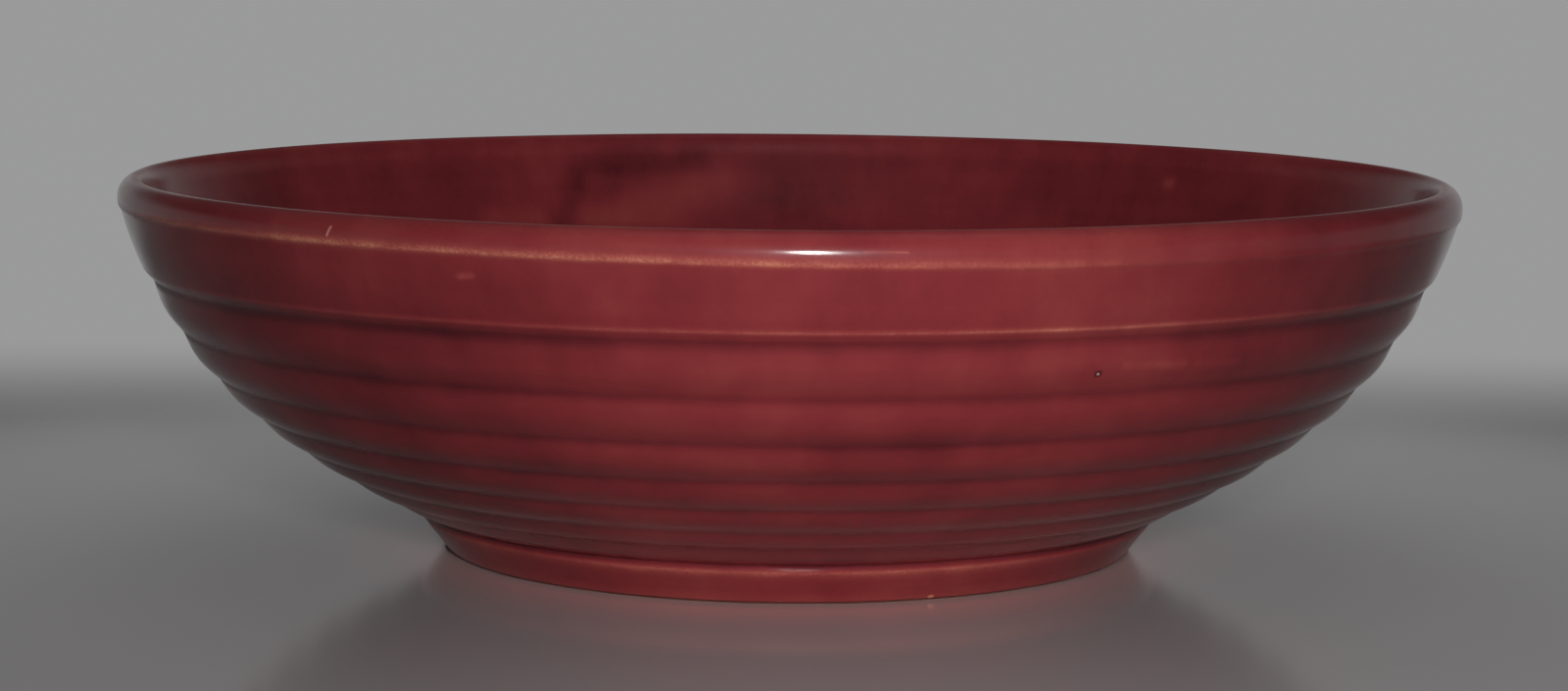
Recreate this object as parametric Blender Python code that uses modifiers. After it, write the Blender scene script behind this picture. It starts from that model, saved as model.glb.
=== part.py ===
"""A low salad bowl with turned rings: a fired clay body, the glaze over it, and the glaze inside its foot.

Lengths are in metres and +Z is up. The foot stands on Z = 0 and the bowl's axis is the Z axis.
A profile is a list of (radius, height) points that leaves the axis on the bowl's floor, climbs the
inside, turns over the lip and comes down the outside, so the clay is always on its right-hand side.
Sizes of the finished bowl are taken over the glaze.
"""

import math

import bpy

# Lip: a rolled bead that ends below in a ridge. The pull is the share of each side that rounds its turn.
RIM_RADIUS = 0.1524
BOWL_HEIGHT = 0.0857
LIP_THICKNESS = 0.0066
LIP_CROWN_INSET = 0.0040
LIP_CROWN_RISE = 0.0046
LIP_INNER_LEAN = math.radians(12.0)
LIP_INNER_PULL = 0.55
RIDGE_INSET = 0.0002
RIDGE_DROP = 0.0019

# Plain band under the lip, and the crisp step at its lower edge
RIDGE_DEPTH = 0.0006
RIDGE_UNDERCUT = 0.0007
BAND_HEIGHT = 0.0129
BAND_LEAN = math.radians(19.9)
BAND_BULGE = 0.0003
STEP_DEPTH = 0.0022
STEP_HEIGHT = 0.0024
STEP_ROUNDING = 0.0007

# Ringed wall: a curve through the grooves, and the convex rings between them. The taper is how much
# wider than the middle ring the top one is, and how much narrower the lowest. A groove is sharp at
# roundness 1 and as wide as the ring's crest at 2.
WALL_TOP_LEAN = math.radians(27.2)
WALL_FOOT_LEAN = math.radians(64.3)
WALL_TOP_PULL = 0.0152
WALL_FOOT_PULL = 0.0500
WALL_THICKNESS = 0.0050
RING_COUNT = 7
RING_TAPER = 0.11
TOP_RING_RELIEF = 0.0009
FOOT_RING_RELIEF = 0.0004
GROOVE_ROUNDNESS = 1.35

# Inside floor: the wall's curve is followed past this many rings, then eased to the flat centre
RINGS_INSIDE_WALL = 5
FLOOR_THICKNESS = 0.0065
FLOOR_EDGE_PULL = 0.0200
FLOOR_CENTRE_PULL = 0.0450

# Foot ring and the recess inside it
FOOT_EDGE_RADIUS = 0.0856
FOOT_EDGE_HEIGHT = 0.0080
FOOT_EDGE_ROUNDING = 0.0008
FOOT_GROOVE_DEPTH = 0.0008
FOOT_GROOVE_RISE = 0.0014
FOOT_REST_RADIUS = 0.0788
FOOT_REST_WIDTH = 0.0070
RECESS_DEPTH = 0.0055
RECESS_WALL_RUN = 0.0020
RECESS_FILLET = 0.0025

# Glaze: its coat, the clearance that keeps it a separate solid, and the bare clay at the foot
GLAZE_THICKNESS = 0.0005
GLAZE_CLEARANCE = 0.0003
DRY_FOOT_HEIGHT = 0.0006

# Facets
TURN_STEPS = 40
FLOOR_SEGMENTS = 4
LIP_SEGMENTS = 3
RIDGE_SEGMENTS = 2
BAND_SEGMENTS = 2
RING_SEGMENTS = 4
FILLET_SEGMENTS = 2
CURVE_SAMPLES = 400
AXIS_MERGE = 0.00001
SHARP_ANGLE = math.radians(40)

# Finishes: linear colour, roughness and coat
CLAY_COLOUR = (0.60, 0.47, 0.33, 1.0)
CLAY_ROUGHNESS = 0.85
GLAZE_COLOUR = (0.21, 0.026, 0.030, 1.0)
GLAZE_ROUGHNESS = 0.18
GLAZE_COAT = 0.6


def moved(point, direction, distance):
    """The point that lies this distance away along a unit direction."""
    return (point[0] + direction[0] * distance, point[1] + direction[1] * distance)


def between(start, end, share):
    return (start[0] + (end[0] - start[0]) * share, start[1] + (end[1] - start[1]) * share)


def unit(start, end):
    length = math.dist(start, end)
    return ((end[0] - start[0]) / length, (end[1] - start[1]) / length)


def downhill(lean):
    """The unit direction that runs down and in towards the axis, leaning this far from upright."""
    return (-math.sin(lean), -math.cos(lean))


def right_of(direction):
    """A quarter turn to the right, which is into the clay for a profile's direction."""
    return (direction[1], -direction[0])


def bezier(start, start_handle, end_handle, end, segments):
    """Points along a cubic curve, both ends included."""
    points = []
    for index in range(segments + 1):
        t = index / segments
        shares = ((1 - t) ** 3, 3 * (1 - t) ** 2 * t, 3 * (1 - t) * t**2, t**3)
        corners = (start, start_handle, end_handle, end)
        radius = sum(share * corner[0] for share, corner in zip(shares, corners))
        height = sum(share * corner[1] for share, corner in zip(shares, corners))
        points.append((radius, height))
    return points


def ellipse(centre, half_width, half_height, start_angle, end_angle, segments):
    """Points along part of an ellipse, both ends included."""
    points = []
    for index in range(segments + 1):
        angle = start_angle + (end_angle - start_angle) * index / segments
        radius = centre[0] + half_width * math.cos(angle)
        points.append((radius, centre[1] + half_height * math.sin(angle)))
    return points


def fillet(before, corner, after, reach):
    """Points that round a corner, leaving each leg this far from it."""
    start = moved(corner, unit(corner, before), reach)
    end = moved(corner, unit(corner, after), reach)
    return bezier(start, between(start, corner, 2 / 3), between(end, corner, 2 / 3), end, FILLET_SEGMENTS)


def bulged(start, end, height, segments):
    """Points from start to end along a shallow convex arc that rises this far from the straight line."""
    outward = right_of(unit(end, start))
    points = []
    for index in range(segments + 1):
        share = index / segments
        points.append(moved(between(start, end, share), outward, 4 * height * share * (1 - share)))
    return points


def places_along(curve, shares):
    """Places at these shares of a curve's length, each with the curve's direction there."""
    lengths = [0.0]
    for start, end in zip(curve, curve[1:]):
        lengths.append(lengths[-1] + math.dist(start, end))
    places = []
    index = 1
    for share in shares:
        wanted = lengths[-1] * share
        while index < len(curve) - 1 and lengths[index] < wanted:
            index += 1
        within = (wanted - lengths[index - 1]) / (lengths[index] - lengths[index - 1])
        place = between(curve[index - 1], curve[index], within)
        places.append((place, unit(curve[index - 1], curve[index])))
    return places


def sunk(profile, depth):
    """The profile moved this far into the clay, with mitred corners; an end on the axis stays on it."""
    points = []
    for index, point in enumerate(profile):
        if point[0] == 0:
            points.append((0.0, point[1] - depth if index == 0 else point[1] + depth))
            continue
        sides = []
        if index > 0:
            sides.append(right_of(unit(profile[index - 1], point)))
        if index < len(profile) - 1:
            sides.append(right_of(unit(point, profile[index + 1])))
        across = (sides[0][0] + sides[-1][0], sides[0][1] + sides[-1][1])
        points.append(moved(point, across, 2 * depth / (across[0] ** 2 + across[1] ** 2)))
    return points


def at_height(start, end, height):
    """The point on the line through two points that lies at this height."""
    return between(start, end, (height - start[1]) / (end[1] - start[1]))


def lip_profile():
    """The bead, from its inner side over the crown to the ridge below it."""
    centre = (RIM_RADIUS - LIP_CROWN_INSET, BOWL_HEIGHT - LIP_CROWN_RISE)
    start = (RIM_RADIUS - LIP_THICKNESS, centre[1])
    crown = (centre[0], BOWL_HEIGHT)
    start_handle = moved(start, downhill(LIP_INNER_LEAN), -LIP_INNER_PULL * LIP_CROWN_RISE)
    crown_handle = (crown[0] - LIP_INNER_PULL * (crown[0] - start[0]), BOWL_HEIGHT)
    inner = bezier(start, start_handle, crown_handle, crown, LIP_SEGMENTS)
    outer = ellipse(centre, LIP_CROWN_INSET, LIP_CROWN_RISE, math.pi / 2, 0, LIP_SEGMENTS)
    widest = outer[-1]
    ridge = (widest[0] - RIDGE_INSET, widest[1] - RIDGE_DROP)
    upright = (widest[0], widest[1] - RIDGE_DROP / 2)
    return inner + outer[1:] + bezier(widest, upright, upright, ridge, RIDGE_SEGMENTS)[1:]


def band_profile(ridge):
    """The plain band, from under the lip's ridge to the step's lower corner, which is the first groove."""
    top = (ridge[0] - RIDGE_DEPTH, ridge[1] - RIDGE_UNDERCUT)
    edge = moved(top, downhill(BAND_LEAN), BAND_HEIGHT / math.cos(BAND_LEAN))
    groove = (edge[0] - STEP_DEPTH, edge[1] - STEP_HEIGHT)
    band = bulged(top, edge, BAND_BULGE, BAND_SEGMENTS)[:-1]
    return band + fillet(band[-1], edge, groove, STEP_ROUNDING) + [groove]


def foot_groove():
    """The narrow groove where the wall meets the foot."""
    return (FOOT_EDGE_RADIUS - FOOT_GROOVE_DEPTH, FOOT_EDGE_HEIGHT + FOOT_GROOVE_RISE)


def wall_curve(top_groove):
    """The smooth curve that all the grooves lie on, from the step to the foot."""
    bottom = foot_groove()
    top_handle = moved(top_groove, downhill(WALL_TOP_LEAN), WALL_TOP_PULL)
    bottom_handle = moved(bottom, downhill(WALL_FOOT_LEAN), -WALL_FOOT_PULL)
    return bezier(top_groove, top_handle, bottom_handle, bottom, CURVE_SAMPLES)


def ring_shares(segments):
    """Where the rings' points lie, as shares of the wall's length, with this many steps to a ring."""
    middle = (RING_COUNT - 1) / 2
    widths = [1 + RING_TAPER * (middle - ring) / max(middle, 1) for ring in range(RING_COUNT)]
    shares = [0.0]
    for width in widths:
        for _ in range(segments):
            shares.append(shares[-1] + width / sum(widths) / segments)
    return shares


def ring_profile(curve):
    """The rings: stretches of the wall's curve, each raised in a crest, and lower towards the foot."""
    points = []
    for index, (place, direction) in enumerate(places_along(curve, ring_shares(RING_SEGMENTS))):
        ring, segment = divmod(index, RING_SEGMENTS)
        crest = math.sin(math.pi * segment / RING_SEGMENTS) ** GROOVE_ROUNDNESS
        relief = TOP_RING_RELIEF + (FOOT_RING_RELIEF - TOP_RING_RELIEF) * ring / max(RING_COUNT - 1, 1)
        points.append(moved(place, right_of(direction), -relief * crest))
    return points


def foot_profile():
    """The foot's outside, from its rounded upper edge down to the table."""
    edge = (FOOT_EDGE_RADIUS, FOOT_EDGE_HEIGHT)
    rest = (FOOT_REST_RADIUS, 0.0)
    return fillet(foot_groove(), edge, rest, FOOT_EDGE_ROUNDING) + [rest]


def inside_profile(curve):
    """The smooth inside, from the axis over the floor and up the wall, short of the lip."""
    wall = []
    for place, direction in places_along(curve, ring_shares(1)[: RINGS_INSIDE_WALL + 1]):
        wall.append((moved(place, right_of(direction), WALL_THICKNESS), direction))
    floor_edge, direction = wall[-1]
    floor_height = RECESS_DEPTH + FLOOR_THICKNESS
    edge_handle = moved(floor_edge, direction, FLOOR_EDGE_PULL)
    centre_handle = (FLOOR_CENTRE_PULL, floor_height)
    floor = bezier(floor_edge, edge_handle, centre_handle, (0.0, floor_height), FLOOR_SEGMENTS)
    return floor[::-1] + [place for place, _ in wall[-2::-1]]


def finished_profile():
    """The whole glazed surface, from the middle of the floor to the table."""
    lip = lip_profile()
    band = band_profile(lip[-1])
    curve = wall_curve(band[-1])
    return inside_profile(curve) + lip + band + ring_profile(curve)[1:] + foot_profile()


def recess_profile():
    """The hollow inside the foot ring, from the table up its wall and in to the axis."""
    rim = (FOOT_REST_RADIUS - FOOT_REST_WIDTH, 0.0)
    corner = (rim[0] - RECESS_WALL_RUN, RECESS_DEPTH)
    centre = (0.0, RECESS_DEPTH)
    return [rim] + fillet(rim, corner, centre, RECESS_FILLET) + [centre]


def clay_profile():
    """The fired body: everything under the glaze, and the bare ring that it rests on."""
    depth = GLAZE_THICKNESS + GLAZE_CLEARANCE
    outside = sunk(finished_profile(), depth)
    recess = sunk(recess_profile(), depth)
    outside[-1] = at_height(outside[-2], outside[-1], 0.0)
    recess[0] = at_height(recess[1], recess[0], 0.0)
    return outside + recess


def coat_profile():
    """The glaze over the inside, the lip and the outside, wiped off just above the table."""
    surface = finished_profile()
    surface[-1] = at_height(surface[-2], surface[-1], DRY_FOOT_HEIGHT)
    return surface + sunk(surface, GLAZE_THICKNESS)[::-1]


def recess_glaze_profile():
    """The glaze inside the foot ring, wiped off at the same height."""
    surface = recess_profile()
    surface[0] = at_height(surface[1], surface[0], DRY_FOOT_HEIGHT)
    return sunk(surface, GLAZE_THICKNESS)[::-1] + surface


def finish(name, colour, roughness, coat):
    material = bpy.data.materials.new(name)
    material.use_nodes = True
    material.diffuse_color = colour
    shader = material.node_tree.nodes["Principled BSDF"]
    shader.inputs["Base Color"].default_value = colour
    shader.inputs["Roughness"].default_value = roughness
    shader.inputs["Coat Weight"].default_value = coat
    return material


def turned(name, profile, material, collection):
    """A solid of revolution round the Z axis, with its real corners sharp and the rest shaded smooth."""
    outline = bpy.data.meshes.new(name + "_outline")
    edges = [(index, index + 1) for index in range(len(profile) - 1)]
    outline.from_pydata([(radius, 0.0, height) for radius, height in profile], edges, [])
    piece = bpy.data.objects.new(name, outline)
    collection.objects.link(piece)
    screw = piece.modifiers.new("Turning", "SCREW")
    screw.axis = "Z"
    screw.angle = math.tau
    screw.steps = TURN_STEPS
    screw.render_steps = TURN_STEPS
    screw.use_merge_vertices = True
    screw.merge_threshold = AXIS_MERGE
    bpy.context.view_layer.update()
    graph = bpy.context.evaluated_depsgraph_get()
    solid = bpy.data.meshes.new_from_object(piece.evaluated_get(graph))
    solid.name = name
    piece.modifiers.clear()
    piece.data = solid
    bpy.data.meshes.remove(outline)
    solid.materials.clear()
    solid.materials.append(material)
    solid.shade_smooth()
    solid.set_sharp_from_angle(angle=SHARP_ANGLE)
    return piece


def clear_scene():
    for leftover in list(bpy.data.objects):
        bpy.data.objects.remove(leftover, do_unlink=True)


def build_bowl():
    clear_scene()
    bowl = bpy.data.collections.new("salad_bowl")
    bpy.context.scene.collection.children.link(bowl)
    clay = finish("fired_clay", CLAY_COLOUR, CLAY_ROUGHNESS, 0.0)
    glaze = finish("burgundy_glaze", GLAZE_COLOUR, GLAZE_ROUGHNESS, GLAZE_COAT)
    turned("clay_body", clay_profile(), clay, bowl)
    turned("glaze_coat", coat_profile(), glaze, bowl)
    turned("recess_glaze", recess_glaze_profile(), glaze, bowl)


build_bowl()
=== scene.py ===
"""A low salad bowl, dressed: its burgundy glaze, the bare clay of its foot, and a plain pale setting.

Lengths are in metres in the part's own frame: +Z is up and the foot stands on Z = 0.
A profile is an array of (radius, height) points that leaves the axis on the bowl's floor, climbs the
inside, turns over the lip and comes down the outside, so the clay is always on its right-hand side.
A named angle round the bowl is in degrees from the front, and grows towards the viewer's right.
An array of angles, inside the functions, is in radians from +X.
"""
import math

import bpy
import numpy as np
from mathutils import Matrix, Vector


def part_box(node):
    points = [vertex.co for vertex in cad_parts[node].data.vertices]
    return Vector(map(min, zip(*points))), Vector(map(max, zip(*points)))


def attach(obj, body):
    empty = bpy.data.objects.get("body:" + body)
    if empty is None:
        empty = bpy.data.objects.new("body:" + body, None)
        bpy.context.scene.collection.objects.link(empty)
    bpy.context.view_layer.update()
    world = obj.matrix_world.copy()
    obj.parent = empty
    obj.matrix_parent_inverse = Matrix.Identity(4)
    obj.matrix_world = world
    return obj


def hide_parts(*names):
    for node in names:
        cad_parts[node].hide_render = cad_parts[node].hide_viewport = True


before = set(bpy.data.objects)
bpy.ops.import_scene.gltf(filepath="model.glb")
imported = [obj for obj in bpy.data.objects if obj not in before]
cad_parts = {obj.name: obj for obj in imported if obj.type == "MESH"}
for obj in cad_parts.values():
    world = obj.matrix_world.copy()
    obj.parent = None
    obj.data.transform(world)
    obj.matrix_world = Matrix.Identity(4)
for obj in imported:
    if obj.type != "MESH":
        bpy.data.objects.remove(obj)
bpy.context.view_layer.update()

coat_low, coat_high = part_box("glaze_coat")
recess_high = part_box("recess_glaze")[1]

# Sizes read from the frame, and the glaze's own
RIM_RADIUS = coat_high.x
BOWL_HEIGHT = coat_high.z
DRY_FOOT_HEIGHT = coat_low.z
GLAZE_THICKNESS = 0.0005
GLAZE_CLEARANCE = 0.0003
RECESS_DEPTH = recess_high.z - GLAZE_THICKNESS

# Lip, and the plain band under it with its step
LIP_THICKNESS = 0.0066
LIP_CROWN_INSET = 0.0040
LIP_CROWN_RISE = 0.0046
LIP_INNER_LEAN = math.radians(12.0)
LIP_INNER_PULL = 0.55
RIDGE_INSET = 0.0002
RIDGE_DROP = 0.0019
RIDGE_DEPTH = 0.0006
RIDGE_UNDERCUT = 0.0007
BAND_HEIGHT = 0.0129
BAND_LEAN = math.radians(19.9)
BAND_BULGE = 0.0003
STEP_DEPTH = 0.0022
STEP_HEIGHT = 0.0024

# Ringed wall
WALL_TOP_LEAN = math.radians(27.2)
WALL_FOOT_LEAN = math.radians(64.3)
WALL_TOP_PULL = 0.0152
WALL_FOOT_PULL = 0.0500
WALL_THICKNESS = 0.0050
RING_COUNT = 7
RING_TAPER = 0.11
TOP_RING_RELIEF = 0.0009
FOOT_RING_RELIEF = 0.0004
GROOVE_ROUNDNESS = 1.35

# Inside floor, foot ring and recess
RINGS_INSIDE_WALL = 5
FLOOR_THICKNESS = 0.0065
FLOOR_EDGE_PULL = 0.0200
FLOOR_CENTRE_PULL = 0.0450
FOOT_EDGE_RADIUS = 0.0849
FOOT_EDGE_HEIGHT = 0.0080
FOOT_GROOVE_DEPTH = 0.0001
FOOT_GROOVE_RISE = 0.0014
FOOT_REST_RADIUS = 0.0788
FOOT_REST_WIDTH = 0.0070
RECESS_WALL_RUN = 0.0020
RECESS_FILLET = 0.0025
FILLET_PULL = 2 / 3

# How finely the outlines are drawn and turned, and how far the glaze rounds a corner. The glaze in the
# recess is turned as the clay is
FINE_STEP = 0.0001
BAND_POINTS = 60
JOIN_POINTS = 30
WALL_STEPS = 400
OUTSIDE_STEP = 0.0010
INSIDE_STEP = 0.0020
BACK_STEP = 0.0020
CORNER_SOFTENING = 0.00030
GLAZE_TURNS = 240
CLAY_TURNS = 160

# The outside's step where it bends more than this many radians a millimetre
CORNER_STEP = 0.00045
CORNER_BEND = 0.09

# In fine steps: how far the fine outside reaches down the lip's inner side, how far off a sunk line looks
# for its own surface, and the run that gives a line's end its direction
LIP_FINE_RUN = 60
SUNK_WINDOW = 60
END_RUN = 5

# The share of its depth that a sunk line must keep, and how many spreads a bell curve has on each side
SUNK_SHARE = 0.985
BELL_SPREADS = 4

# The hand's wander: how far the wall strays in and down, the turn in radians between the two, and its
# slow waves as (waves to a turn, phase, climb in radians a metre)
WALL_WANDER = 0.00022
HEIGHT_WANDER = 0.00018
HEIGHT_WANDER_TURN = 2.0
WANDERS = ((2, 0.4, 35.0), (3, 2.1, -60.0), (5, 4.0, 85.0), (9, 1.2, -140.0), (16, 5.1, 230.0))

# The ridge under the lip sways up and down this often to a turn, and takes some of the lip and band along
RIDGE_SWAYS = 2
RIDGE_SWAY = 0.00085
RIDGE_SWAY_REACH = 0.0028

# The view: camera place, tilts, lens and sensor in millimetres, and the nearest that it sees
CAMERA_PLACE = (-0.00102, -0.8196, 0.1448)
CAMERA_PITCH = 0.1204
CAMERA_ROLL = 0.0086
CAMERA_LENS = 81.86
CAMERA_SENSOR = 36.0
CAMERA_NEAR = 0.01

# The floor's disc, and where it passes into the background: before and behind the bowl, and all round it
FLOOR_RADIUS = 9.0
FLOOR_SIDES = 96
FLOOR_FADE_DEPTH = (0.16, 0.39)
FLOOR_FADE_ROUND = (0.27, 0.75)

# To the bowl's sides the floor takes a small share of the background's tone, between two distances from
# the axis in which the way before and behind the bowl counts half
FLOOR_LIGHTER = (0.09, 0.18)
FLOOR_LIGHTER_SHARE = 0.04
FLOOR_LIGHTER_STRETCH = (1, 0.5, 0)

# The floor's two tones of paint and their clouds, its polish, which ends between two distances, and a
# pale pink glow painted round the foot, painted light for the red light the bowl throws down
FLOOR_TONES = ((0.455, 0.438, 0.439, 1.0), (0.485, 0.468, 0.469, 1.0))
FLOOR_CLOUDS = (3, 3.0)
FLOOR_TONE_SPAN = (-0.3, 0.3)
FLOOR_POLISH = 0.13
FLOOR_DULLING = 0.47
FLOOR_POLISH_END = (0.20, 0.42)
FLOOR_PAINTED_GLOW = (0.66, 0.47, 0.455, 1.0)
FLOOR_PAINTED_GLOW_END = (0.110, 0.080)

# The background, and the dark overhead that it passes into as a direction's rise (its angle's sine) grows
BACKGROUND = (0.325, 0.325, 0.327, 1.0)
CEILING = (0.045, 0.045, 0.047, 1.0)
CEILING_FADE = (0.08, 0.36)

# The room's own light
ROOM_LIGHT = (0.95, 0.97, 1.0, 1.0)
ROOM_LIGHT_STRENGTH = 0.05

# Lamps: place, width, height, watts, beam in degrees, how far right of the axis each aims, and whether
# it shows in gloss
LAMPS = {
    "front_lamp": ((0.047, -0.80, 0.20), 0.074, 0.15, 0.37, 52, 0.018, True),
    "overhead_lamp": ((0.1, -0.2, 1.6), 1.2, 1.2, 0.9, 180, 0.0, True),
    "back_lamp_left": ((-0.35, 1.0, 1.2), 1.2, 0.8, 2.3, 180, 0.0, False),
    "back_lamp_right": ((0.35, 1.0, 1.2), 1.2, 0.8, 2.3, 180, 0.0, False),
}


def colour(red, green, blue):
    """A colour as a screen shows it, from 0 to 255, in the linear values that a shader takes."""
    linear = [((value / 255 + 0.055) / 1.055) ** 2.4 for value in (red, green, blue)]
    return (*linear, 1.0)


def point(radius, height):
    """One point of a profile."""
    return np.array([radius, height], float)


def downhill(lean):
    """The unit direction that runs down and in towards the axis, leaning this far from upright."""
    return point(-math.sin(lean), -math.cos(lean))


def right_of(directions):
    """A quarter turn to the right, which is into the clay for a profile's direction."""
    return np.stack([directions[..., 1], -directions[..., 0]], -1)


def bezier(start, start_handle, end_handle, end, steps=80):
    """Points along a smooth curve between two ends, each drawn towards its handle."""
    t = np.linspace(0, 1, steps + 1)[:, None]
    near = (1 - t) ** 3 * start + 3 * (1 - t) ** 2 * t * start_handle
    return near + 3 * (1 - t) * t**2 * end_handle + t**3 * end


def ellipse(centre, half_width, half_height, start_angle, end_angle, steps=40):
    """Points along an arc of an upright ellipse."""
    angles = np.linspace(start_angle, end_angle, steps + 1)
    return centre + np.stack([half_width * np.cos(angles), half_height * np.sin(angles)], 1)


def run_lengths(line):
    """How far along the line each of its points lies."""
    return np.concatenate([[0.0], np.cumsum(np.hypot(*np.diff(line, axis=0).T))])


def sampled(line, places):
    """Points at these distances along a line."""
    lengths = run_lengths(line)
    return np.stack([np.interp(places, lengths, line[:, axis]) for axis in (0, 1)], 1)


def evenly(line, step):
    """The line with its points about this far apart."""
    length = run_lengths(line)[-1]
    return sampled(line, np.linspace(0, length, max(int(round(length / step)), 2) + 1))


def headings(line):
    """The line's unit direction at each point."""
    steps = np.gradient(line, axis=0)
    return steps / np.hypot(*steps.T)[:, None]


def blurred(values, reach):
    """The values smoothed along a fine line by a bell curve of this reach, with both ends kept."""
    spread = reach / FINE_STEP
    half = int(BELL_SPREADS * spread)
    bell = np.exp(-0.5 * (np.arange(-half, half + 1) / spread) ** 2)
    bell /= bell.sum()
    before = 2 * values[:1] - values[half:0:-1]
    after = 2 * values[-1:] - values[-2 : -half - 2 : -1]
    padded = np.concatenate([before, values, after])
    return np.stack([np.convolve(column, bell, "valid") for column in padded.T], 1)


def convexity(line, reach):
    """How sharply a fine line turns round the clay, in radians a millimetre; hollows are negative."""
    directions = headings(blurred(line, reach))
    turned_by = np.unwrap(np.arctan2(directions[:, 1], directions[:, 0]))
    return -np.gradient(turned_by) / FINE_STEP / 1000


def lip_line():
    """The bead, from its inner side over the crown to the ridge below it."""
    centre = point(RIM_RADIUS - LIP_CROWN_INSET, BOWL_HEIGHT - LIP_CROWN_RISE)
    start = point(RIM_RADIUS - LIP_THICKNESS, centre[1])
    crown = point(centre[0], BOWL_HEIGHT)
    start_handle = start - downhill(LIP_INNER_LEAN) * LIP_INNER_PULL * LIP_CROWN_RISE
    crown_handle = crown - point(LIP_INNER_PULL * (crown[0] - start[0]), 0)
    inner = bezier(start, start_handle, crown_handle, crown)
    outer = ellipse(centre, LIP_CROWN_INSET, LIP_CROWN_RISE, math.pi / 2, 0)
    widest = outer[-1]
    ridge = widest - point(RIDGE_INSET, RIDGE_DROP)
    upright = widest - point(0, RIDGE_DROP / 2)
    return np.concatenate([inner, outer[1:], bezier(widest, upright, upright, ridge)[1:]])


def band_line(ridge):
    """The plain band, from under the ridge to the step's lower corner."""
    top = ridge - point(RIDGE_DEPTH, RIDGE_UNDERCUT)
    edge = top + downhill(BAND_LEAN) * BAND_HEIGHT / math.cos(BAND_LEAN)
    share = np.linspace(0, 1, BAND_POINTS)[:, None]
    outward = -right_of(downhill(BAND_LEAN))
    band = top + (edge - top) * share + outward * 4 * BAND_BULGE * share * (1 - share)
    return np.concatenate([band, [edge - point(STEP_DEPTH, STEP_HEIGHT)]])


def foot_groove():
    """Where the lowest ring meets the foot."""
    return point(FOOT_EDGE_RADIUS - FOOT_GROOVE_DEPTH, FOOT_EDGE_HEIGHT + FOOT_GROOVE_RISE)


def wall_curve(top_groove):
    """The smooth curve that all the grooves lie on, from the step to the foot."""
    bottom = foot_groove()
    top_handle = top_groove + downhill(WALL_TOP_LEAN) * WALL_TOP_PULL
    bottom_handle = bottom - downhill(WALL_FOOT_LEAN) * WALL_FOOT_PULL
    return bezier(top_groove, top_handle, bottom_handle, bottom, WALL_STEPS)


def ring_edges(curve):
    """Where the rings meet, as distances along the wall's curve, the top ring the widest."""
    middle = (RING_COUNT - 1) / 2
    widths = 1 + RING_TAPER * (middle - np.arange(RING_COUNT)) / middle
    return np.concatenate([[0.0], np.cumsum(widths) / widths.sum()]) * run_lengths(curve)[-1]


def ring_line(curve):
    """The rings: stretches of the wall's curve, each raised in a crest, and lower towards the foot."""
    places = np.arange(0, run_lengths(curve)[-1], FINE_STEP * 2)
    edges = ring_edges(curve)
    ring = np.clip(np.searchsorted(edges, places, "right") - 1, 0, RING_COUNT - 1)
    share = (places - edges[ring]) / np.diff(edges)[ring]
    relief = TOP_RING_RELIEF + (FOOT_RING_RELIEF - TOP_RING_RELIEF) * ring / (RING_COUNT - 1)
    crest = np.sin(math.pi * np.clip(share, 0, 1)) ** GROOVE_ROUNDNESS
    line = sampled(curve, places)
    return line - right_of(headings(line)) * (relief * crest)[:, None]


def inside_line(curve):
    """The smooth inside, from the axis over the floor and up the wall, short of the lip."""
    directions = headings(curve)
    sunk_curve = curve + right_of(directions) * WALL_THICKNESS
    last = int(np.searchsorted(run_lengths(curve), ring_edges(curve)[RINGS_INSIDE_WALL]))
    floor_height = RECESS_DEPTH + FLOOR_THICKNESS
    edge_handle = sunk_curve[last] + directions[last] * FLOOR_EDGE_PULL
    centre_handle = point(FLOOR_CENTRE_PULL, floor_height)
    floor = bezier(sunk_curve[last], edge_handle, centre_handle, point(0, floor_height))
    return np.concatenate([floor[::-1], sunk_curve[last - 1 :: -1]])


def finished_line():
    """The glazed surface as a fine line with soft corners, from the floor's middle to the table, and
    where the glaze's edges lie on it: the lip's crown, the ridge, the step and the foot's edge."""
    lip = lip_line()
    band = band_line(lip[-1])
    curve = wall_curve(band[-1])
    foot_edge = point(FOOT_EDGE_RADIUS, FOOT_EDGE_HEIGHT)
    foot = np.array([foot_groove(), foot_edge, [FOOT_REST_RADIUS, 0.0]])
    inside = inside_line(curve)
    rise = (lip[0] - inside[-1])[None]
    joined = inside[-1] + rise * np.linspace(0, 1, JOIN_POINTS)[1:-1, None]
    line = np.concatenate([inside, joined, lip, band, ring_line(curve)[1:], foot])
    line = blurred(evenly(line, FINE_STEP), CORNER_SOFTENING)
    crown = point(RIM_RADIUS - LIP_CROWN_INSET, BOWL_HEIGHT)
    edges = [crown, lip[-1], band[-2], foot_edge]
    return line, [int(np.argmin(np.hypot(*(line - edge).T))) for edge in edges]


def recess_line():
    """The hollow inside the foot ring, from the table up its wall and in to the axis."""
    rim = point(FOOT_REST_RADIUS - FOOT_REST_WIDTH, 0)
    corner = rim + point(-RECESS_WALL_RUN, RECESS_DEPTH)
    up = (corner - rim) / np.hypot(*(corner - rim))
    start = corner - up * RECESS_FILLET
    end = corner - point(RECESS_FILLET, 0)
    start_handle = start + (corner - start) * FILLET_PULL
    end_handle = end + (corner - end) * FILLET_PULL
    turn = bezier(start, start_handle, end_handle, end)
    return evenly(np.concatenate([[rim], turn, [point(0, RECESS_DEPTH)]]), FINE_STEP)


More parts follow.
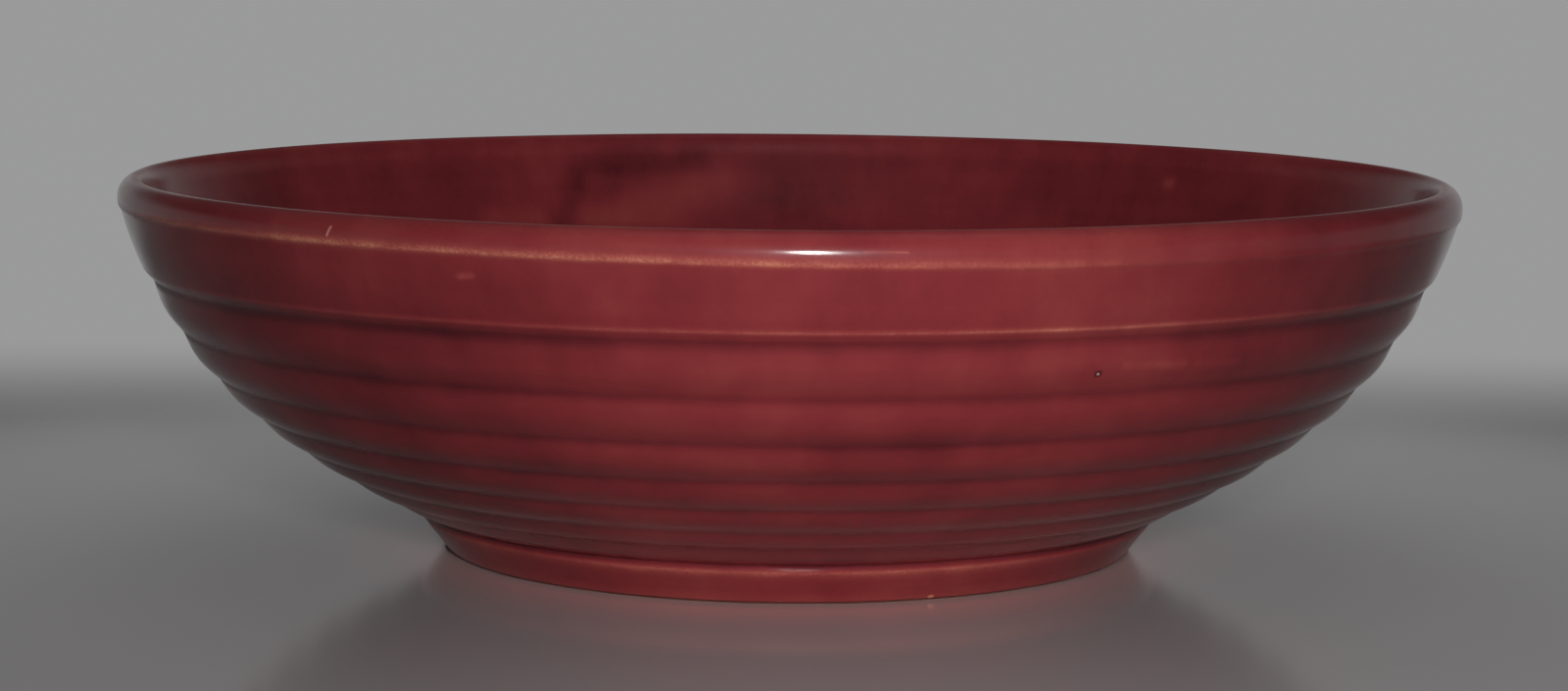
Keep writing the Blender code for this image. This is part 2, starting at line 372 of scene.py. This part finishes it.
def sunk(line, depth):
    """The line moved this far into the clay, without the loops that tight corners would leave."""
    moved = line + right_of(headings(line)) * depth
    kept = []
    for index, place in enumerate(moved):
        near = line[max(0, index - SUNK_WINDOW) : index + SUNK_WINDOW + 1]
        if np.hypot(*(near - place).T).min() > depth * SUNK_SHARE:
            kept.append(place)
    result = np.array(kept)
    result[result[:, 0] < 0, 0] = 0.0
    return result


def cut_at(line, height):
    """A line that ends near the table, cut or run on so that it ends at this height."""
    last = np.flatnonzero(line[:, 1] > height)[-1]
    direction = line[last] - line[last - END_RUN]
    end = line[last] + direction * (height - line[last, 1]) / direction[1]
    return np.concatenate([line[: last + 1], [end]])


def thinned(line, steps):
    """Which points of a fine line to keep: steps gives the wanted distance between them at each point."""
    passed = np.concatenate([[0.0], np.cumsum(np.hypot(*np.diff(line, axis=0).T) / steps[1:])])
    picks = np.searchsorted(passed, np.arange(0, passed[-1], 1.0))
    return np.unique(np.append(picks, len(line) - 1))


def coarser(line, step):
    """The line with only as many of its points as lie this far apart."""
    return line[thinned(line, np.full(len(line), step))]


def wander(angles, heights):
    """How far in the wall strays here, from 0 to 1, in slow waves round the bowl and up it."""
    total = sum(
        np.cos(waves * angles + phase + climb * heights) / waves**0.5 for waves, phase, climb in WANDERS
    )
    return 0.5 + 0.5 * total / sum(1 / waves**0.5 for waves, _, _ in WANDERS)


def ridge_sway(angles, radii, heights):
    """How far the ridge and what lies near it on the outside are raised here."""
    ridge_height = BOWL_HEIGHT - LIP_CROWN_RISE - RIDGE_DROP
    near = np.exp(-0.5 * ((heights - ridge_height) / RIDGE_SWAY_REACH) ** 2)
    share = np.clip((radii - RIM_RADIUS + LIP_CROWN_INSET) / (LIP_CROWN_INSET / 2), 0, 1)
    return RIDGE_SWAY * near * share**2 * (3 - 2 * share) * np.sin(RIDGE_SWAYS * angles)


def turned(name, outline, turns, finish, marks=None):
    """A closed solid turned round the axis from an outline whose two ends lie on it.

    Marks are values that the mesh carries for its finish, one for each outline point and angle round."""
    angles = np.arange(turns) * math.tau / turns
    body = outline[1:-1]
    radii = body[:, 0:1] - WALL_WANDER * wander(angles[None, :], body[:, 1:2])
    rise = np.clip((body[:, 1:2] - FOOT_EDGE_HEIGHT) / (BOWL_HEIGHT - FOOT_EDGE_HEIGHT), 0, 1)
    heights = body[:, 1:2] - HEIGHT_WANDER * rise * wander(angles[None, :] + HEIGHT_WANDER_TURN, 0.0)
    heights = heights + ridge_sway(angles[None, :], body[:, 0:1], body[:, 1:2])
    rings = np.stack([radii * np.cos(angles), radii * np.sin(angles), heights], -1).reshape(-1, 3)
    poles = np.array([[0.0, 0.0, outline[0, 1]], [0.0, 0.0, outline[-1, 1]]])
    here = np.arange(len(body) * turns).reshape(len(body), turns)
    beside = np.roll(here, -1, axis=1)
    quads = np.stack([here[:-1], here[1:], beside[1:], beside[:-1]], -1).reshape(-1, 4)
    first = [(len(rings), int(a), int(b)) for a, b in zip(here[0], beside[0])]
    last = [(len(rings) + 1, int(b), int(a)) for a, b in zip(here[-1], beside[-1])]
    mesh = bpy.data.meshes.new(name)
    mesh.from_pydata(np.concatenate([rings, poles]).tolist(), [], quads.tolist() + first + last)
    mesh.shade_smooth()
    for mark, values in (marks or {}).items():
        spread = np.concatenate([values(angles)[1:-1].ravel(), np.zeros(2)])
        layer = mesh.attributes.new(mark, "FLOAT", "POINT")
        layer.data.foreach_set("value", spread.astype(np.float32))
    piece = bpy.data.objects.new(name, mesh)
    bpy.context.scene.collection.objects.link(piece)
    mesh.materials.append(finish)
    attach(piece, "root")
    return piece


class Reading:
    """One value that a finish works out over the surface. Arithmetic on it adds Math nodes."""

    def __init__(self, nodes, socket):
        self.nodes = nodes
        self.socket = socket

    def maths(self, operation, first, second):
        return self.nodes.add("ShaderNodeMath", {"operation": operation}, {0: first, 1: second})

    def __add__(self, other):
        return self.maths("ADD", self, other)

    __radd__ = __add__

    def __sub__(self, other):
        return self.maths("SUBTRACT", self, other)

    def __rsub__(self, other):
        return self.maths("SUBTRACT", other, self)

    def __mul__(self, other):
        return self.maths("MULTIPLY", self, other)

    __rmul__ = __mul__

    def or_higher(self, other):
        """The higher of two values."""
        return self.maths("MAXIMUM", self, other)


class Nodes:
    """The nodes of one material or world, each added by the one method add."""

    def __init__(self, tree):
        self.tree = tree

    def add(self, kind, settings=None, sockets=None, output=0):
        """Adds a node: its settings first, then its sockets' values or links. Gives one output."""
        made = self.tree.nodes.new(kind)
        for setting, value in (settings or {}).items():
            if setting == "stops":
                self.set_stops(made.color_ramp.elements, value)
            else:
                setattr(made, setting, value)
        for socket, value in (sockets or {}).items():
            self.feed(made.inputs[socket], value)
        return Reading(self, made.outputs[output])

    def set_stops(self, elements, stops):
        """A new ramp has two stops, which take the first two places given, and the rest are added."""
        for index, (place, tone) in enumerate(stops):
            stop = elements[index] if index < 2 else elements.new(place)
            stop.position = place
            stop.color = tone

    def feed(self, socket, value):
        if isinstance(value, Reading):
            self.tree.links.new(value.socket, socket)
        else:
            socket.default_value = value

    def mark(self, name):
        """A value that the piece's own mesh carries."""
        return self.add("ShaderNodeAttribute", {"attribute_name": name}, output="Fac")

    def vector(self, operation, first, second=(0, 0, 0), output="Vector"):
        return self.add("ShaderNodeVectorMath", {"operation": operation}, {0: first, 1: second}, output)

    def length(self, place):
        return self.add("ShaderNodeVectorMath", {"operation": "LENGTH"}, {0: place}, "Value")

    def stretched_length(self, place, stretch):
        """How far a place lies from the origin, once each axis is multiplied by its share."""
        return self.length(self.vector("MULTIPLY", place, stretch))

    def noise(self, place, scale, detail=2.0, stretch=(1, 1, 1)):
        """Cloudy noise round 0, with this many features to a metre."""
        at = self.vector("MULTIPLY", place, stretch)
        return self.add("ShaderNodeTexNoise", {}, {"Vector": at, "Scale": scale, "Detail": detail}) - 0.5

    def smooth(self, value, low, high):
        """0 at low and 1 at high, with soft ends."""
        sockets = {"Value": value, "From Min": low, "From Max": high}
        return self.add("ShaderNodeMapRange", {"interpolation_type": "SMOOTHSTEP"}, sockets)

    def mix(self, share, first, second):
        """Two colours mixed: they are inputs 6 and 7 of the node, and the result is its output 2."""
        return self.add("ShaderNodeMix", {"data_type": "RGBA"}, {0: share, 6: first, 7: second}, output=2)

    def streak(self, place, start, end, width, core=0.0):
        """1 along the middle of a streak, over this core of its width, falling to 0 at its sides."""
        run = Vector(end) - Vector(start)
        shortest = 1e-6
        length = max(run.length, shortest)
        away = self.vector("SUBTRACT", place, start)
        along = self.vector("DOT_PRODUCT", away, tuple(run / length**2), "Value")
        along = self.add("ShaderNodeClamp", {}, {"Value": along, "Min": 0.0, "Max": 1.0})
        spot = self.add("ShaderNodeVectorMath", {"operation": "SCALE"}, {0: tuple(run), "Scale": along})
        distance = self.length(self.vector("SUBTRACT", away, spot))
        return self.smooth(distance, width / 2, width / 2 * core)

    def background_seen(self):
        """1 where the background shows itself: straight, in gloss or through glass."""
        straight, gloss, glass = (
            self.add("ShaderNodeLightPath", output=ray)
            for ray in ("Is Camera Ray", "Is Glossy Ray", "Is Transmission Ray")
        )
        return straight.or_higher(gloss).or_higher(glass)


def new_material(name):
    """A material with its nodes, the place on its piece, and its shader."""
    material = bpy.data.materials.new(name)
    material.use_nodes = True
    nodes = Nodes(material.node_tree)
    place = nodes.add("ShaderNodeTexCoord", output="Object")
    return material, nodes, place, material.node_tree.nodes["Principled BSDF"]


# Glaze colour by depth, from where it is stretched thin over an edge to where it pools, the two ends first
GLAZE_COLOURS = (
    (0.00, colour(192, 122, 96)),
    (1.00, colour(44, 15, 21)),
    (0.16, colour(164, 85, 75)),
    (0.34, colour(139, 58, 57)),
    (0.52, colour(124, 43, 47)),
    (0.78, colour(87, 26, 32)),
)

# The glaze's usual depth, and what thin and pooled glaze change in it
GLAZE_DEPTH = 0.50
THIN_SHARE = 0.52
GROOVE_POOLING = 0.15

# Clouds, grain, runs down the wall and turned lines all over it: features to a metre, detail and stretch
CLOUDS = (22, 3.0)
MOTTLE = (75, 3.0)
GRAIN = (700, 2.0)
RUNS = (260, 2.0, (1, 1, 0.12))
TURNED_LINES = (300, 2.0, (0.03, 0.03, 1))

# The depth that each of them adds
CLOUD_DEPTH = 0.42
MOTTLE_DEPTH = 0.22
GRAIN_DEPTH = 0.07
RUN_DEPTH = 0.10
TURNED_DEPTH = 0.10

# What breaks up the thin glaze, and how much, and how much breaks and mottle tell in a streak
BREAKS = (380, 3.0, (0.4, 0.4, 1))
SPECKS = (1700, 1.0)
THIN_BREAKS = 1.0
THIN_SPECKS = 0.8
STREAK_BREAKS = 2.0

# The glaze's gloss: roughness, what marks, thin and pooled glaze add to it, and the clear coat over it
GLAZE_ROUGHNESS = 0.12
MOTTLE_ROUGHNESS = 0.08
CLOUD_ROUGHNESS = 0.05
THIN_ROUGHNESS = 0.24
POOLED_ROUGHNESS = 0.22
GLAZE_IOR = 1.5
GLAZE_SPECULAR = 0.15
COAT_WEIGHT = 0.15
COAT_ROUGHNESS = 0.42

# The glaze's fine relief: how much each mark stands out, and how strong and how high it all is
MOTTLE_RELIEF = 0.5
LINE_RELIEF = 0.15
GRAIN_RELIEF = 0.25
PIT_RELIEF = 1.2
GRIT_RELIEF = 1.0
GLAZE_RELIEF = {"Strength": 0.35, "Distance": 0.0002}

# Edges that the glaze thins over, in the order of the line's edges: how wide the thin stretch is before
# and after the edge, its share all the way round, and stretches where it is thinner (angle, spread,
# added share). On the crown it is partly a painted sheen, and on the foot's edge partly a painted glint
THIN_EDGES_AND_PAINTED_SHEEN = (
    # The crown: thin glaze, and partly a painted sheen for the reflection along it
    (0.00130, 0.00080, 0.30, ((-30, 60, 0.16), (150, 70, 0.1))),
    (0.00105, 0.00055, 0.08, ((-32, 26, 0.72), (6, 13, 0.34), (-66, 14, 0.28), (165, 60, 0.3))),
    (0.00045, 0.00030, 0.20, ((26, 20, 0.32), (-15, 25, 0.25), (205, 50, 0.25))),
    # The foot's edge: thin glaze, and at the front partly a painted glint of the lamp
    (0.00020, 0.00130, 0.30, ((0, 40, 0.30), (180, 70, 0.15))),
)

# It thins a little over every bend and pools in the hollows below the step: how far along the line each is
# felt, the bend in radians a millimetre at which it is full, and the share of a bend's thinning
BEND_REACH = 0.0006
FULL_BEND = 0.25
BEND_THINNING = 0.10
HOLLOW_REACH = 0.0008
FULL_HOLLOW = 0.16

# Inside the lip the glaze is lighter too: the heights where that starts and is full, and its share
INNER_LIP_START = 0.0794
INNER_LIP_FULL = 0.0812
INNER_LIP_SHARE = 0.16

# Towards the foot's end it is painted lighter, for light the floor throws up: the height where that starts,
# and its share at the end
FOOT_END_START = 0.0032
FOOT_END_PAINTED_LIGHT = 0.36

# It is darker inside, and in broad stretches outside is painted shade towards the sides (angle, spread,
# height, height spread, added depth)
INSIDE_DARKER = 0.11
PAINTED_SIDE_SHADE_STRETCHES = (
    (56, 16, 0.062, 0.040, 0.17),
    (-56, 17, 0.055, 0.040, 0.13),
    (-23, 9, 0.066, 0.006, 0.09),
    (-30, 11, 0.030, 0.025, 0.10),
)

# Thinner-glaze streaks, one a painted highlight on the lip, and lighter and darker streaks inside: start
# and end as (angle, height), width and share
THIN_STREAKS_AND_PAINTED_GLINT = (
    ((-25.0, 0.0749), (-24.0, 0.0752), 0.0026, 0.20),
    # A painted highlight: a faint glint just right of the lamp's own on the lip
    ((5.3, 0.0819), (8.4, 0.0817), 0.0010, 0.25),
    ((27.6, 0.0576), (33.3, 0.0570), 0.0036, 0.12),
    ((34.7, 0.0570), (39.2, 0.0565), 0.0034, 0.07),
    ((22.5, 0.0010), (22.8, 0.0010), 0.0016, 0.50),
)
# Lighter patches inside, and darker ones after them
INNER_LIGHTER_STREAKS = (
    ((136.6, 0.0763), (137.0, 0.0763), 0.0060, 0.20),
    ((214.0, 0.0640), (208.6, 0.0640), 0.0130, 0.14),
    ((202.0, 0.0640), (198.6, 0.0645), 0.0140, 0.14),
    ((195.0, 0.0670), (187.0, 0.0735), 0.0240, 0.14),
)
INNER_DARKER_STREAKS = (
    ((205.6, 0.0640), (203.8, 0.0740), 0.0120, 0.12),
    ((202.0, 0.0780), (190.0, 0.0790), 0.0130, 0.10),
)

# One pale fleck on the lip: its ends as (angle, height), its width, full core, strength and colour
FLECK_ENDS = ((-36.7, 0.0814), (-36.4, 0.0831))
FLECK_WIDTH = 0.0009
FLECK_CORE = 0.3
FLECK_STRENGTH = 0.75
FLECK_COLOUR = colour(196, 132, 118)

# One pit in the glaze with a pale grit in it, at this (angle, height), both with this full core
PIT = (25.2, 0.0560)
PIT_CORE = 0.5
PIT_WIDTH = 0.0022
PIT_STRENGTH = 0.7
PIT_COLOUR = colour(44, 14, 22)
GRIT_WIDTH = 0.0008
GRIT_STRENGTH = 0.8
GRIT_COLOUR = colour(214, 178, 176)

# The bare clay's two tones, and its grain, clouds and wiping: features to a metre, detail and stretch
CLAY_TONES = (colour(196, 172, 144), colour(222, 205, 182))
CLAY_TONE_SPAN = (-0.35, 0.4)
CLAY_GRAIN = (1600, 3.0)
CLAY_CLOUDS = (60, 3.0)
CLAY_WIPING = (300, 2.0, (0.06, 0.06, 1))
GRAIN_TONE = 0.5
WIPING_TONE = 0.4

# Its specks: features to a metre and detail, the span in which they show, their strength and colour
CLAY_SPECKS = (900, 1.0)
SPECK_SPAN = (0.2, 0.28)
SPECK_STRENGTH = 0.6
SPECK_COLOUR = colour(128, 92, 66)

# Its roughness and relief, and a dark red, ragged band on it, which starts at this radius: partly the
# glaze's colour run onto the clay, and partly painted shade where the ring meets the table
CLAY_ROUGHNESS = 0.86
CLAY_GRAIN_ROUGHNESS = 0.1
CLAY_RELIEF = {"Strength": 0.5, "Distance": 0.0003}
GLAZE_RUN_AND_PAINTED_SHADE_START = 0.0761
GLAZE_RUN_AND_PAINTED_SHADE_RAGGEDNESS = 0.0006
GLAZE_RUN_AND_PAINTED_SHADE_COLOUR = colour(112, 52, 44)


def on_wall(spot, line, inside=False):
    """The place on the outer or inner surface at this (angle, height)."""
    angle, height = spot
    top = int(np.argmax(line[:, 1]))
    side = line[:top] if inside else line[:top:-1]
    radius = np.interp(height, side[:, 1], side[:, 0])
    turn = math.radians(angle - 90)
    return (radius * math.cos(turn), radius * math.sin(turn), height)


def burgundy_glaze(line):
    """Glossy burgundy glass over the clay: tan where thin, wine-dark where it pools, with painted light and
    painted shade in its colour.
    """
    material, nodes, place, shader = new_material("burgundy_glaze")
    clouds = nodes.noise(place, *CLOUDS)
    mottle = nodes.noise(place, *MOTTLE)
    grain = nodes.noise(place, *GRAIN)
    runs = nodes.noise(place, *RUNS)
    turned_lines = nodes.noise(place, *TURNED_LINES)
    breaks = nodes.noise(place, *BREAKS)
    specks = nodes.noise(place, *SPECKS)
    # This mark is thin glaze, and also painted light: a sheen on the crown, a glint on the foot's edge and
    # light on the foot's end
    thin = nodes.mark("glaze_thin_and_painted_light") * (1.0 + THIN_BREAKS * breaks + THIN_SPECKS * specks)
    pooled = nodes.mark("glaze_pooled")
    depth = GLAZE_DEPTH + CLOUD_DEPTH * clouds + MOTTLE_DEPTH * mottle + GRAIN_DEPTH * grain
    depth = depth + RUN_DEPTH * runs + TURNED_DEPTH * turned_lines
    # The darker-glaze mark is darker inside, and painted shade in broad stretches towards the sides outside
    depth = depth - THIN_SHARE * thin + GROOVE_POOLING * pooled + nodes.mark("glaze_darker_and_painted_shade")
    # One of these streaks is a painted highlight on the lip, beside the lamp's
    for start, end, width, share in THIN_STREAKS_AND_PAINTED_GLINT:
        streak = nodes.streak(place, on_wall(start, line), on_wall(end, line), width)
        depth = depth - share * streak * (1.0 + STREAK_BREAKS * breaks)
    for streaks, way in ((INNER_LIGHTER_STREAKS, -1.0), (INNER_DARKER_STREAKS, 1.0)):
        for start, end, width, share in streaks:
            streak = nodes.streak(place, on_wall(start, line, True), on_wall(end, line, True), width)
            depth = depth + way * share * streak * (1.0 + STREAK_BREAKS * mottle)
    tone = nodes.add("ShaderNodeValToRGB", {"stops": GLAZE_COLOURS}, {0: depth})
    fleck_start, fleck_end = (on_wall(end, line) for end in FLECK_ENDS)
    fleck = nodes.streak(place, fleck_start, fleck_end, FLECK_WIDTH, FLECK_CORE)
    tone = nodes.mix(fleck * FLECK_STRENGTH, tone, FLECK_COLOUR)
    pit_place = on_wall(PIT, line)
    pit = nodes.streak(place, pit_place, pit_place, PIT_WIDTH, PIT_CORE)
    grit = nodes.streak(place, pit_place, pit_place, GRIT_WIDTH, PIT_CORE)
    tone = nodes.mix(pit * PIT_STRENGTH, tone, PIT_COLOUR)
    tone = nodes.mix(grit * GRIT_STRENGTH, tone, GRIT_COLOUR)
    nodes.feed(shader.inputs["Base Color"], tone)
    roughness = GLAZE_ROUGHNESS + MOTTLE_ROUGHNESS * mottle + CLOUD_ROUGHNESS * clouds
    roughness = roughness + THIN_ROUGHNESS * thin + POOLED_ROUGHNESS * pooled
    nodes.feed(shader.inputs["Roughness"], roughness)
    shader.inputs["IOR"].default_value = GLAZE_IOR
    shader.inputs["Specular IOR Level"].default_value = GLAZE_SPECULAR
    shader.inputs["Coat Weight"].default_value = COAT_WEIGHT
    shader.inputs["Coat Roughness"].default_value = COAT_ROUGHNESS
    relief = MOTTLE_RELIEF * mottle + LINE_RELIEF * turned_lines + LINE_RELIEF * breaks
    relief = relief + GRAIN_RELIEF * grain * thin - PIT_RELIEF * pit + GRIT_RELIEF * grit
    nodes.feed(shader.inputs["Normal"], nodes.add("ShaderNodeBump", {}, {"Height": relief, **GLAZE_RELIEF}))
    return material


def bare_clay():
    """Fired buff clay, wiped clean of glaze: dry and grainy, and dark red along the ring's outer edge,
    partly from the glaze and partly painted shade where it meets the table.
    """
    material, nodes, place, shader = new_material("bare_clay")
    grain = nodes.noise(place, *CLAY_GRAIN)
    clouds = nodes.noise(place, *CLAY_CLOUDS)
    wiping = nodes.noise(place, *CLAY_WIPING)
    share = nodes.smooth(clouds + GRAIN_TONE * grain + WIPING_TONE * wiping, *CLAY_TONE_SPAN)
    tone = nodes.mix(share, *CLAY_TONES)
    specks = nodes.smooth(nodes.noise(place, *CLAY_SPECKS), *SPECK_SPAN)
    tone = nodes.mix(specks * SPECK_STRENGTH, tone, SPECK_COLOUR)
    # A dark red band on the ring's outer edge: partly the glaze's colour, partly painted shade where it
    # meets the table
    from_axis = nodes.stretched_length(place, (1, 1, 0)) + GLAZE_RUN_AND_PAINTED_SHADE_RAGGEDNESS * clouds
    glaze_run_and_painted_shade = nodes.smooth(from_axis, GLAZE_RUN_AND_PAINTED_SHADE_START, FOOT_REST_RADIUS - GLAZE_THICKNESS)
    nodes.feed(shader.inputs["Base Color"], nodes.mix(glaze_run_and_painted_shade, tone, GLAZE_RUN_AND_PAINTED_SHADE_COLOUR))
    nodes.feed(shader.inputs["Roughness"], CLAY_ROUGHNESS + CLAY_GRAIN_ROUGHNESS * grain)
    relief = {"Height": grain + wiping, **CLAY_RELIEF}
    nodes.feed(shader.inputs["Normal"], nodes.add("ShaderNodeBump", {}, relief))
    return material


def swell(angles, middle, spread):
    """1 at this angle round from the front, falling softly to 0 on both sides."""
    away = np.degrees(np.angle(np.exp(1j * (angles + math.pi / 2 - math.radians(middle)))))
    return np.exp(-0.5 * (away / spread) ** 2)


def thin_glaze_and_painted_light(lengths, edge_lengths, everywhere):
    """The share of thin glaze, with the painted light that rides on it, for each point of an outline and
    each angle round.
    """

    def values(angles):
        thinnest = everywhere[:, None] * np.ones_like(angles)[None, :]
        for edge_length, (before, after, share, stretches) in zip(edge_lengths, THIN_EDGES_AND_PAINTED_SHEEN):
            away = lengths - edge_length
            near = np.exp(-0.5 * (away / np.where(away < 0, before, after)) ** 2)[:, None]
            more = sum(added * swell(angles, middle, spread) for middle, spread, added in stretches)
            thinnest = np.maximum(thinnest, near * np.clip(share + more, 0, 1)[None, :])
        return thinnest

    return values


def pooled_glaze(hollow):
    """The share of pooled glaze, the same all the way round."""

    def values(angles):
        return hollow[:, None] * np.ones_like(angles)[None, :]

    return values


def darker_glaze_and_painted_shade(heights, inside):
    """How much darker than elsewhere the glaze is, for each point of an outline and each angle round:
    darker inside, and painted shade in stretches towards the sides outside.
    """

    def values(angles):
        darker = INSIDE_DARKER * inside[:, None] * np.ones_like(angles)[None, :]
        for middle, spread, height, height_spread, added in PAINTED_SIDE_SHADE_STRETCHES:
            near = np.exp(-0.5 * ((heights - height) / height_spread) ** 2) * (1 - inside)
            darker = darker + added * near[:, None] * swell(angles, middle, spread)[None, :]
        return darker

    return values


def glaze_marks(face, edges, picks, back):
    """What the coat's mesh carries for its finish. Its back is hidden, and counts as near no edge."""
    crown, _, step, _ = edges
    places = np.arange(len(face))
    lengths = run_lengths(face)
    bend = np.clip(convexity(face, BEND_REACH) / FULL_BEND, 0, 1)
    inner_lip = np.clip((face[:, 1] - INNER_LIP_START) / (INNER_LIP_FULL - INNER_LIP_START), 0, 1)
    inner_lip = INNER_LIP_SHARE * inner_lip * (places < crown)
    # Painted light on the foot's lower face, for what the floor throws up onto it
    painted_foot_light = FOOT_END_PAINTED_LIGHT * np.clip(1 - face[:, 1] / FOOT_END_START, 0, 1)
    run_thin_and_painted_light = np.maximum(np.maximum(BEND_THINNING * bend, inner_lip), painted_foot_light)
    hollow = np.clip(-convexity(face, HOLLOW_REACH) / FULL_HOLLOW, 0, 1) * (places > step)
    nothing = np.zeros(len(back))
    near_no_edge = np.full(len(back), -1.0)
    outline_lengths = np.concatenate([lengths[picks], near_no_edge])
    everywhere = np.concatenate([run_thin_and_painted_light[picks], nothing])
    heights = np.concatenate([face[picks, 1], back[:, 1]])
    inside = np.concatenate([(places < crown)[picks], nothing])
    return {
        "glaze_thin_and_painted_light": thin_glaze_and_painted_light(outline_lengths, lengths[edges], everywhere),
        "glaze_pooled": pooled_glaze(np.concatenate([hollow[picks], nothing])),
        "glaze_darker_and_painted_shade": darker_glaze_and_painted_shade(heights, inside),
    }


def glazed_surface(line, edges, glaze):
    """The coat of glaze: its fine outer face, and a plainer face against the clay."""
    face = cut_at(line, DRY_FOOT_HEIGHT)
    inside = np.arange(len(face)) < edges[0] - LIP_FINE_RUN
    outside_steps = np.where(np.abs(convexity(face, BEND_REACH)) > CORNER_BEND, CORNER_STEP, OUTSIDE_STEP)
    picks = thinned(face, np.where(inside, INSIDE_STEP, outside_steps))
    back = coarser(sunk(face, GLAZE_THICKNESS), BACK_STEP)[::-1]
    marks = glaze_marks(face, edges, picks, back)
    piece = turned("bowl_glaze", np.concatenate([face[picks], back]), GLAZE_TURNS, glaze, marks)
    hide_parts("glaze_coat")


def recess_surface(glaze):
    """The glaze inside the foot ring."""
    face = cut_at(recess_line()[::-1], DRY_FOOT_HEIGHT)[::-1]
    back = sunk(face, GLAZE_THICKNESS)[::-1]
    outline = np.concatenate([coarser(back, BACK_STEP), coarser(face, OUTSIDE_STEP)])
    piece = turned("foot_recess_glaze", outline, CLAY_TURNS, glaze)
    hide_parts("recess_glaze")


def clay_shape(line, clay):
    """The fired body under the glaze, down to the bare ring that it rests on."""
    depth = GLAZE_THICKNESS + GLAZE_CLEARANCE
    outside = cut_at(sunk(line, depth), 0.0)
    recess = cut_at(sunk(recess_line(), depth)[::-1], 0.0)[::-1]
    outline = np.concatenate([coarser(outside, OUTSIDE_STEP), coarser(recess, BACK_STEP)])
    piece = turned("bowl_clay", outline, CLAY_TURNS, clay)
    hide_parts("clay_body")


def pale_floor():
    """A wide plain floor of pale, slightly satin paint that passes into the background, with a pink glow
    painted round the foot.
    """
    bpy.ops.mesh.primitive_circle_add(
        vertices=FLOOR_SIDES, radius=FLOOR_RADIUS, fill_type="NGON", location=(0, 0, 0)
    )
    floor = bpy.context.object
    floor.name = "floor"
    material, nodes, place, shader = new_material("pale_floor")
    clouds = nodes.noise(place, *FLOOR_CLOUDS)
    tone = nodes.mix(nodes.smooth(clouds, *FLOOR_TONE_SPAN), *FLOOR_TONES)
    away = nodes.length(place)
    depth = nodes.stretched_length(place, (0, 1, 0))
    sideways = nodes.stretched_length(place, FLOOR_LIGHTER_STRETCH)
    # A pink glow painted round the foot: painted light for the red light that the bowl throws down
    tone = nodes.mix(nodes.smooth(away, *FLOOR_PAINTED_GLOW_END), tone, FLOOR_PAINTED_GLOW)
    nodes.feed(shader.inputs["Base Color"], tone)
    roughness = FLOOR_POLISH + FLOOR_DULLING * nodes.smooth(away, *FLOOR_POLISH_END)
    nodes.feed(shader.inputs["Roughness"], roughness)
    far = nodes.smooth(away, *FLOOR_FADE_ROUND).or_higher(nodes.smooth(depth, *FLOOR_FADE_DEPTH))
    far = far.or_higher(FLOOR_LIGHTER_SHARE * nodes.smooth(sideways, *FLOOR_LIGHTER))
    glow = nodes.add("ShaderNodeEmission", {}, {"Color": BACKGROUND, "Strength": 1.0})
    paint = Reading(nodes, shader.outputs[0])
    seen = nodes.add("ShaderNodeMixShader", {}, {0: far * nodes.background_seen(), 1: paint, 2: glow})
    nodes.feed(material.node_tree.nodes["Material Output"].inputs["Surface"], seen)
    floor.data.materials.append(material)


def lamp(name, place, width, height, watts, beam, aim, mirrored):
    """An oval lamp that faces the bowl at half its height, this far right of its axis."""
    data = bpy.data.lights.new(name, "AREA")
    data.shape = "ELLIPSE"
    data.size = width
    data.size_y = height
    data.energy = watts
    data.spread = math.radians(beam)
    light = bpy.data.objects.new(name, data)
    light.location = place
    facing = Vector((aim, 0, BOWL_HEIGHT / 2)) - Vector(place)
    light.rotation_euler = facing.to_track_quat("-Z", "Y").to_euler()
    light.visible_glossy = mirrored
    bpy.context.scene.collection.objects.link(light)


def studio_light():
    """The lamps, and a world that lights the bowl weakly and shows itself as the pale background."""
    for name, values in LAMPS.items():
        lamp(name, *values)
    world = bpy.data.worlds.new("studio")
    world.use_nodes = True
    nodes = Nodes(world.node_tree)
    sockets = {"Color": ROOM_LIGHT, "Strength": ROOM_LIGHT_STRENGTH}
    ambient = nodes.add("ShaderNodeBackground", {}, sockets)
    direction = nodes.add("ShaderNodeTexCoord", output="Generated")
    rise = nodes.vector("DOT_PRODUCT", direction, (0, 0, 1), "Value")
    tone = nodes.mix(nodes.smooth(rise, *CEILING_FADE), BACKGROUND, CEILING)
    pale = nodes.add("ShaderNodeBackground", {}, {"Color": tone, "Strength": 1.0})
    seen = nodes.add("ShaderNodeMixShader", {}, {0: nodes.background_seen(), 1: ambient, 2: pale})
    nodes.feed(world.node_tree.nodes["World Output"].inputs["Surface"], seen)
    bpy.context.scene.world = world


def camera():
    """The camera at the photograph's place and tilt."""
    data = bpy.data.cameras.new("camera")
    data.sensor_fit = "HORIZONTAL"
    data.sensor_width = CAMERA_SENSOR
    data.lens = CAMERA_LENS
    data.clip_start = CAMERA_NEAR
    eye = bpy.data.objects.new("camera", data)
    tilt = Matrix.Rotation(math.pi / 2 - CAMERA_PITCH, 4, "X") @ Matrix.Rotation(CAMERA_ROLL, 4, "Z")
    eye.matrix_world = Matrix.Translation(CAMERA_PLACE) @ tilt
    bpy.context.scene.collection.objects.link(eye)
    bpy.context.scene.camera = eye


def salad_bowl():
    """The three pieces, all from one finished line."""
    line, edges = finished_line()
    glaze = burgundy_glaze(line)
    glazed_surface(line, edges, glaze)
    recess_surface(glaze)
    clay_shape(line, bare_clay())


salad_bowl()
pale_floor()
studio_light()
camera()
bpy.context.scene.view_settings.view_transform = "Standard"
